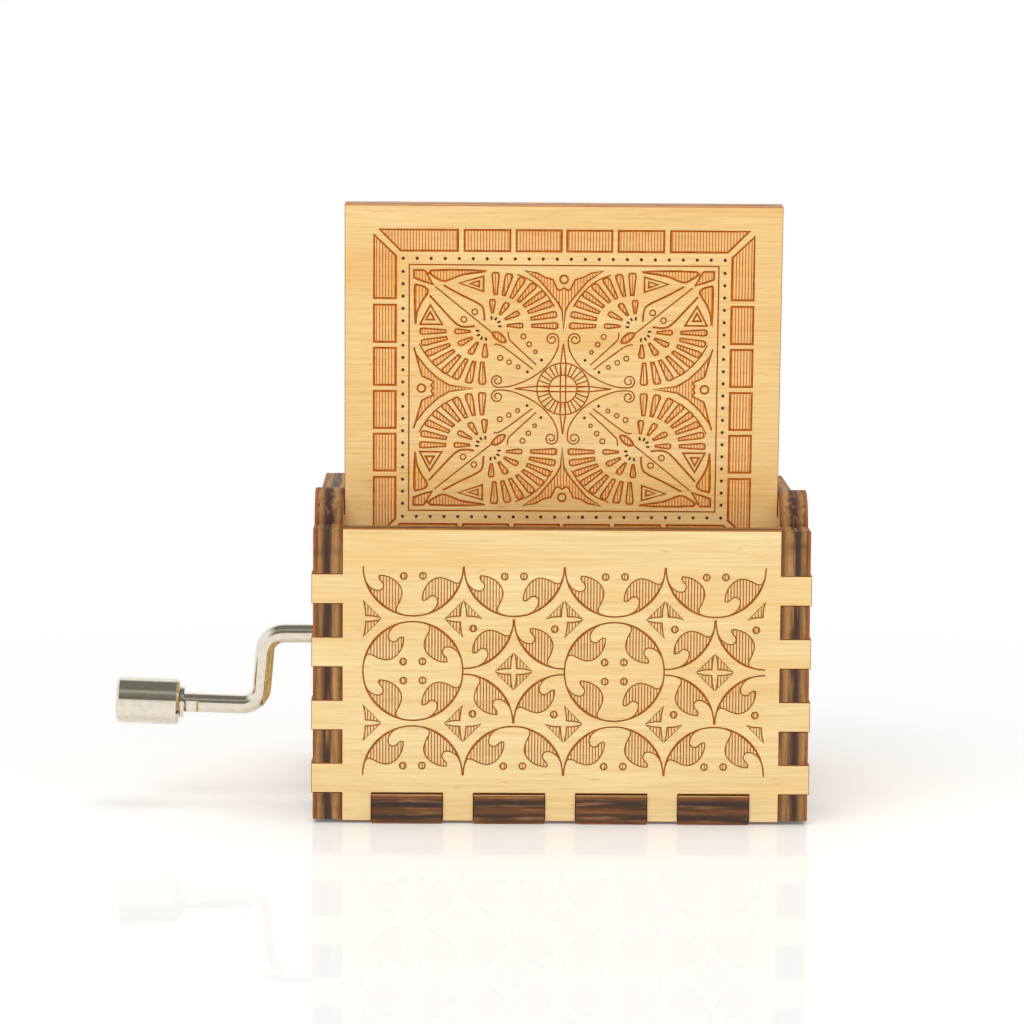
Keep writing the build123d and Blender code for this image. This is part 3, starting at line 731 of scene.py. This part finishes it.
def wall_outline():
    """The right wall in Y and Z, seen from outside."""
    reach = INNER_Y - GLUE_GAP
    foot = [(-PANEL_Y, WALL_LIFT)]
    for y in WALL_TABS:
        foot += [(y - WALL_NOTCH_HALF, WALL_LIFT), (y - WALL_NOTCH_HALF, NOTCH_TOP),
                 (y + WALL_NOTCH_HALF, NOTCH_TOP), (y + WALL_NOTCH_HALF, WALL_LIFT)]
    sockets = []
    for low, high in FINGERS:
        sockets += [(PANEL_Y, low - GLUE_GAP), (reach, low - GLUE_GAP),
                    (reach, high + GLUE_GAP), (PANEL_Y, high + GLUE_GAP)]
    rise = WALL_TOP + EAR_FILLET - PIVOT[1]
    fillet_y = PIVOT[0] + ((EAR_R + EAR_FILLET) ** 2 - rise ** 2) ** 0.5
    lean = degrees(atan2(rise, fillet_y - PIVOT[0]))
    back = degrees(asin((REAR_TOP - PIVOT[1]) / EAR_R))
    top = [(PANEL_Y, WALL_TOP)]
    top += arc(fillet_y, WALL_TOP + EAR_FILLET, EAR_FILLET, -90, lean - 180, 6)
    top += arc(*PIVOT, EAR_R, lean, 180 - back, 24)[1:]
    return foot + [(PANEL_Y, WALL_LIFT)] + sockets + top + [(-PANEL_Y, REAR_TOP)] + [
        (-y, z) for y, z in reversed(sockets)]


def is_clear(shape, x, y):
    """Whether every side of a cut keeps its distance from the middle of the crank hole."""
    for (ax, ay), (bx, by) in zip(shape, shape[1:] + shape[:1]):
        for i in range(9):
            if hypot(ax + (bx - ax) * i / 8 - x, ay + (by - ay) * i / 8 - y) < CLEAR_OF_HOLE:
                return False
    return True


def on_left(y, z, height):
    """A point of the left wall, seen from outside."""
    return Vector((-WALL_X - height, -y, z)) * MM


def on_right(y, z, height):
    """A point of the right wall, seen from outside."""
    return Vector((WALL_X + height, y, z)) * MM


left_birch = cut_birch("birch_left_wall", "X", INNER_X, "Y", BOARD_PLIES, LEFT_BIRCH)
right_birch = cut_birch("birch_right_wall", "X", INNER_X, "Y", BOARD_PLIES, RIGHT_BIRCH)
tenon_hole = arc(*PIVOT, TENON_HOLE_R, 360, 7.5, 47)
crank_hole = arc(*CRANK_AT, CRANK_HOLE_R, 360, 10, 35)
wall_cuts = leaf_pattern(3, 0.0)
left_cuts = [
    (tone, shape) for tone, shape in wall_cuts if is_clear(shape, -CRANK_AT[0], CRANK_AT[1])
]
left_outline = [(-y, z) for y, z in reversed(wall_outline())]
left_holes = [[(-y, z) for y, z in reversed(hole)] for hole in (tenon_hole, crank_hole)]
carved_left = carved_board(
    "carved_left_wall", left_outline, left_holes, left_cuts, on_left, (left_birch, *panel_tones))
carved_right = carved_board(
    "carved_right_wall", wall_outline(), [tenon_hole], wall_cuts, on_right,
    (right_birch, *panel_tones))
for wall, stood_for in ((carved_left, "left_side_wall"), (carved_right, "right_side_wall")):
    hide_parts(stood_for)
    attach(wall, "case")


# ---------------------------------------------------------------- lid
# One board with a tenon on each side, which turns in the ears of the side walls. Its
# engraving is a compass rose among fans, scrolls and leaves in a tiled border, alike
# in all four quarters, so one quarter is drawn and mirrored.
LID_OPEN = radians(94.3)
LID_HALF = 28.0
LID_FRONT = 41.7
LID_REAR = 5.296
TENON_HALF = 1.5
TENON_TIP = 31.7
ROSE_AT = (0.07, 18.07)    # middle of the ornament, across the lid and from the hinge axis
FAN_SQUASH = 1.17          # fans are a little wider than high
BEAD_R = 0.22
FINE_W = 0.18
BOLD_W = 0.26
TILE_W = 0.27
DASH_W = 0.26
PETAL_W = 0.21
CROWN_W = 0.22
CROWN_RING_W = 0.24
TRIANGLE_W = 0.24
# The cut edges are painted paler than those of the walls: a painted highlight for the strong top light on
# them.
LID_PLIES_PAINTED_LIGHT = (
    (0.00, "#a5764f"), (0.10, "#b98a5e"), (0.35, "#c39668"), (0.42, "#8d6c53"), (0.50, "#6f5646"),
    (0.60, "#7a5f4b"), (0.68, "#b68c63"), (0.90, "#bb8d60"), (1.00, "#9b6c48"),
)
LID_BIRCH = ("#f0d194", "#ebc27d", "#cd914a")

lid_pivot = Vector(joints["lid_hinge"]["pos_m"])


def on_lid(x, y, height):
    """A point of the open lid's engraved face, with y counted from the hinge axis."""
    z = (height + PLY / 2) * MM
    y *= MM
    back = y * cos(LID_OPEN) - z * sin(LID_OPEN)
    rise = y * sin(LID_OPEN) + z * cos(LID_OPEN)
    return lid_pivot + Vector((x * MM, back, rise))


def bead(x, y, radius=BEAD_R):
    """A small round dot."""
    return [(DOT, tuple(circle(x, y, radius, 8)))]


def tile(*corners):
    """One tile of the border."""
    return hatched(list(corners), TILE_W)


def border_quarter():
    """Half the tiles of one long and one short row, and the beads and line inside them."""
    cuts = tile((23.6, 20.5), (13.6, 20.5), (13.6, 17.8), (20.9, 17.8))
    cuts += tile((24.3, 19.8), (24.3, 11.65), (21.5, 11.65), (21.5, 17.1))
    for out, back in ((12.75, 6.92), (6.1, 0.35)):
        cuts += tile((out, 20.5), (back, 20.5), (back, 17.8), (out, 17.8))
    for out, back in ((10.8, 5.98), (5.22, 0.4)):
        cuts += tile((24.3, out), (24.3, back), (21.5, back), (21.5, out))
    for i in range(12):
        cuts += bead(0.9 + 1.79 * i, 16.8)
    for i in range(10):
        cuts += bead(20.59, 0.79 + 1.59 * i)
    return cuts + stroke([(0, 16.0), (19.8, 16.0), (19.8, 0)], FINE_W)


def petal(x, y, angle, start, end, start_w, end_w):
    """A rounded wedge that points away from x, y."""
    a = radians(angle)
    ahead, side = (cos(a) * FAN_SQUASH, sin(a)), (-sin(a) * FAN_SQUASH, cos(a))
    shape = []
    for r, w in (
        (start, -start_w), (end - 0.35, -end_w), (end - 0.05, -end_w * 0.75), (end, 0.0),
        (end - 0.05, end_w * 0.75), (end - 0.35, end_w), (start, start_w),
    ):
        shape.append((x + ahead[0] * r + side[0] * w / 2, y + ahead[1] * r + side[1] * w / 2))
    return hatched(shape, PETAL_W)


def fan(x, y, start, root_x):
    """Eight long petals over a quarter turn, and four short ones and dashes about root_x."""
    cuts = []
    for i in range(8):
        cuts += petal(x, y, start + 90 * i / 7, 4.0, 6.85, 0.34, 0.78)
    for i in range(4):
        cuts += petal(root_x, y, start + 30 * i, 1.65, 3.35, 0.20, 0.62)
        a = radians(start - 6 + 102 * i / 3)
        cuts += stroke([(root_x + r * cos(a), y + r * sin(a)) for r in (0.75, 1.2)], DASH_W, tone=DOT)
    return cuts


def leaves_quarter():
    """Corner leaves, double triangles, and the spear on the diagonal with its shoulders."""
    corner = [(19.2, 15.3), (18.0, 15.3), (17.7, 15.1), (16.8, 13.5), (18.0, 13.85), (19.2, 14.3)]
    cuts = hatched(corner, BOLD_W)
    for leaf in (
        [(17.0, 15.25), (10.0, 15.25), (12.9, 14.75), (14.6, 14.1), (15.4, 13.9), (16.2, 14.2)],
        [(19.1, 13.0), (18.7, 13.35), (17.8, 13.1), (17.4, 12.5), (18.2, 11.2), (18.8, 9.8), (19.0, 8.4)],
        [(9.1, 7.25), (8.4, 7.3), (7.7, 6.75), (7.4, 6.1), (8.15, 6.1), (8.9, 6.75)],
    ):
        cuts += hatched(curved(leaf, True, 3), BOLD_W)
    for triangle in (
        [(13.4, 13.65), (10.3, 14.55), (10.3, 12.6)],
        [(12.05, 13.6), (10.85, 13.95), (10.85, 13.2)],
        [(17.1, 10.8), (18.4, 8.3), (15.55, 8.3)],
        [(17.1, 9.9), (17.65, 8.9), (16.55, 8.9)],
    ):
        cuts += stroke(triangle, TRIANGLE_W, closed=True)
    cuts += stroke([(16.5, 13.2), (9.1, 7.2)], FINE_W)
    for shoulder in (
        [(15.4, 13.35), (13.2, 12.15), (10.9, 11.0), (10.3, 10.25), (10.15, 8.8)],
        [(17.2, 12.05), (15.6, 10.3), (13.9, 8.5), (12.85, 8.0), (11.4, 8.1)],
    ):
        cuts += stroke(curved(shoulder), BOLD_W)
    return cuts + ring(11.4, 9.95, 0.36, FINE_W) + ring(12.8, 8.95, 0.36, FINE_W)


def scrolls_quarter():
    """Arcs outside the fans, the scroll round the rose with a volute at each end, and its rings."""
    cuts = []
    for line in (
        [(6.0, 14.8), (4.1, 13.95), (2.4, 12.45), (1.2, 10.65)],
        [(18.5, 5.8), (17.4, 4.0), (15.7, 2.3), (13.8, 1.2)],
        [(7.1, 7.4), (7.0, 6.55), (6.35, 5.8), (3.45, 3.1)],
        [(8.9, 5.75), (7.75, 5.45), (3.9, 2.55)],
        [(0.62, 6.5), (0.72, 5.3), (1.45, 3.8), (2.7, 2.4), (4.4, 1.25), (6.3, 0.45), (7.6, 0.2),
         (8.5, 0.2)],
    ):
        cuts += stroke(curved(line), FINE_W)
    for x, y, start, way in ((1.47, 6.46, 180, -1), (8.45, 1.03, 270, 1)):
        volute = [(start + way * 540 * i / 21, 0.85 - 0.62 * i / 21) for i in range(22)]
        cuts += stroke([(x + r * cos(radians(a)), y + r * sin(radians(a))) for a, r in volute], FINE_W)
    for x, y, r in (
        (5.15, 6.8, 0.32), (4.4, 5.8, 0.29), (3.6, 4.8, 0.22),
        (8.1, 4.0, 0.32), (6.95, 3.45, 0.29), (5.8, 2.85, 0.24),
    ):
        cuts += ring(x, y, r, FINE_W)
    return cuts + bead(2.8, 3.75, 0.2) + bead(4.6, 2.2, 0.2)


def crowns():
    """The four crowns at the middles of the inner frame, each with a ring in it."""
    half = [(0.5, 12.8), (0.85, 12.95), (1.45, 14.2), (2.45, 14.45), (3.4, 15.0), (5.0, 15.3),
            (3.05, 14.0), (1.8, 12.5), (0.75, 11.2), (0.2, 10.1)]
    upper = [(0.0, 13.1)] + half + [(0.0, 7.65)] + [(-x, y) for x, y in reversed(half)]
    half = [(16.95, 0.4), (16.65, 0.87), (18.15, 1.6), (19.2, 5.3), (18.9, 4.4), (17.6, 2.7),
            (16.1, 1.3), (14.6, 0.4)]
    outer = [(16.75, 0.0)] + half + [(11.65, 0.0)] + [(x, -y) for x, y in reversed(half)]
    cuts = []
    for sign in (1, -1):
        cuts += moved(hatched(upper, CROWN_W), 0, 0, 1, sign)
        cuts += moved(hatched(outer, CROWN_W), 0, 0, sign, 1)
        cuts += ring(0, 14.2 * sign, 0.52, CROWN_RING_W) + ring(18.2 * sign, 0, 0.52, CROWN_RING_W)
    return cuts


def rose():
    """Two rings with spokes between them, under four needles."""
    needle, outer, inner, spokes = 0.34, 3.36, 1.8, 28
    cuts = ring(0, 0, outer, FINE_W, 48) + ring(0, 0, inner, FINE_W, 36)
    for i in range(spokes):
        a = 2 * pi * (i + 0.5) / spokes
        cuts += stroke([(r * cos(a), r * sin(a)) for r in (inner, outer)], FINE_W)
    for sign in (1, -1):
        for side in (needle, -needle):
            cuts += stroke([(0, 5.9 * sign), (side, outer * sign), (side, 0)], FINE_W)
            cuts += stroke([(6.2 * sign, 0), (outer * sign, side), (0, side)], FINE_W)
    return cuts


lid_outline = [
    (-LID_HALF, -LID_REAR), (LID_HALF, -LID_REAR), (LID_HALF, -TENON_HALF), (TENON_TIP, -TENON_HALF),
    (TENON_TIP, TENON_HALF), (LID_HALF, TENON_HALF), (LID_HALF, LID_FRONT), (-LID_HALF, LID_FRONT),
    (-LID_HALF, TENON_HALF), (-TENON_TIP, TENON_HALF), (-TENON_TIP, -TENON_HALF), (-LID_HALF, -TENON_HALF),
]
quarter = border_quarter() + fan(8.75, 8.2, 90, 9.15) + fan(10.4, 7.4, -90, 10.05)
quarter += leaves_quarter() + scrolls_quarter()
lid_cuts = moved(crowns() + rose(), *ROSE_AT)
for x_sign in (1, -1):
    for y_sign in (1, -1):
        lid_cuts += moved(quarter, *ROSE_AT, x_sign, y_sign)
lid_birch = cut_birch("birch_lid", "Z", -PLY / 2, "X", LID_PLIES_PAINTED_LIGHT, LID_BIRCH, tilt=LID_OPEN)
lid_line = scorched("lid_engraved_line", "#a85008", "#ca6c12")
lid_hatch = scorched("lid_engraved_hatch", "#db8014", "#ec9a2a")
lid_dot = scorched("lid_engraved_dot", "#582a10", "#7a4016")
carved_lid = carved_board(
    "carved_lid", lid_outline, [], lid_cuts, on_lid, (lid_birch, lid_line, lid_hatch, lid_dot))
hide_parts("lid")
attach(carved_lid, "lid")


# ---------------------------------------------------------------- bedplate
# The frame of the movement, die-cast in zinc and left as cast, so it is grey and a
# little grainy. It stands on four feet, screwed through the base from below.
def metal(name, colour, worn, roughness, marks_of, bump_mm=0.01):
    """A metal whose gloss and colour wander with marks_of, a function of its tree and place."""
    made, tree = material(name)
    spot = node(tree, "ShaderNodeTexCoord").outputs["Object"]
    marks = marks_of(tree, spot)
    bump = node(tree, "ShaderNodeBump", {"Height": marks, "Strength": 0.25, "Distance": bump_mm * MM})
    finish_surface(tree, node(tree, "ShaderNodeBsdfPrincipled", {
        "Base Color": mixed(tree, stepped(tree, marks, 0.35, 0.70), linear(colour), linear(worn)),
        "Metallic": 1.0,
        "Roughness": stepped(tree, marks, 0.2, 0.8, roughness * 0.85, roughness * 1.2),
        "Normal": bump.outputs[0],
    }))
    return made


def grains(size_mm):
    """Marks without direction, of a real size."""
    def marks(tree, spot):
        scale = 1 / (size_mm * MM)
        return node(tree, "ShaderNodeTexNoise", {0: spot, "Scale": scale, "Detail": 4.0}).outputs[0]
    return marks


def lines(along, per_mm, length_mm=12.0):
    """Fine lines along an axis, as grinding or drawing leaves."""
    def marks(tree, spot):
        return grain_noise(tree, spot, along, per_mm, length_mm, 4.0)
    return marks


cast_zinc = metal("die_cast_zinc", "#b4b4b1", "#9b9b98", 0.44, grains(0.35), 0.05)
zinc_plated_steel = metal("zinc_plated_steel", "#c3c2bb", "#aeada6", 0.30, grains(0.6))
show_material(nodes["bedplate"], cast_zinc)
show_material(nodes["mounting_screws"], zinc_plated_steel)


# ---------------------------------------------------------------- comb
# Eighteen tuned teeth of hardened spring steel, ground bright along their length. The
# comb is screwed to the bedplate, and the low notes have weights of lead under them.
ground_steel = metal("ground_spring_steel", "#b9bbbf", "#9c9ea3", 0.24, lines("X", 7.0))
dull_lead = metal("dull_lead", "#6d6f73", "#57595d", 0.55, grains(0.5), 0.03)
show_material(nodes["comb"], ground_steel)
show_material(nodes["comb_screws"], zinc_plated_steel)
show_material(nodes["comb_weights"], dull_lead)


# ---------------------------------------------------------------- pinned drum
# A brass tube with steel pins pressed into it, closed by two turned brass caps on a
# steel arbor. Its far end runs in a bracket of sheet steel screwed to the bedplate.
drawn_brass = metal("drawn_brass", "#d9b76c", "#c8a256", 0.24, lines("Y", 6.0))
turned_brass = metal("turned_brass", "#d6b265", "#c39c50", 0.22, grains(0.4))
drawn_steel = metal("drawn_steel", "#b8b7b3", "#a3a29e", 0.28, lines("Y", 6.0))
sheet_steel = metal("pressed_sheet_steel", "#b9b8b4", "#a5a4a0", 0.34, grains(0.8))
show_material(nodes["drum_shell"], drawn_brass)
for name in ("drum_cap_rear", "drum_cap_front"):
    show_material(nodes[name], turned_brass)
for name in ("drum_pins", "drum_arbor"):
    show_material(nodes[name], drawn_steel)
show_material(nodes["drum_bracket"], sheet_steel)
show_material(nodes["bracket_screw"], zinc_plated_steel)


# ---------------------------------------------------------------- worm and wheel
# The brass worm is pressed on the crank, and turns a moulded nylon wheel on the drum's
# arbor. Natural nylon is milky and lets a little light in.
show_material(nodes["worm"], turned_brass)
natural_nylon, tree = material("natural_nylon")
spot = node(tree, "ShaderNodeTexCoord").outputs["Object"]
clouds = grains(2.5)(tree, spot)
finish_surface(tree, node(tree, "ShaderNodeBsdfPrincipled", {
    "Base Color": mixed(tree, stepped(tree, clouds, 0.3, 0.7), linear("#efece0"), linear("#e3dfd0")),
    "Roughness": 0.42,
    "Subsurface Weight": 0.1,
    "Subsurface Scale": 0.001,
}))
for name in ("worm_wheel", "knob_bush"):
    show_material(nodes[name], natural_nylon)


# ---------------------------------------------------------------- crank
# Bent steel rod 2.5 mm thick with a flattened collar, a loose washer and a drawn
# steel knob, all nickel-plated. Bright nickel is faintly yellow, with small rubs.
bright_nickel = metal("bright_nickel_plate", "#eae3d4", "#dfd7c7", 0.10, grains(0.7), 0.004)
for name in ("crank_rod", "crank_knob", "knob_washer"):
    show_material(nodes[name], bright_nickel)
show_material(nodes["crank_clip"], ground_steel)
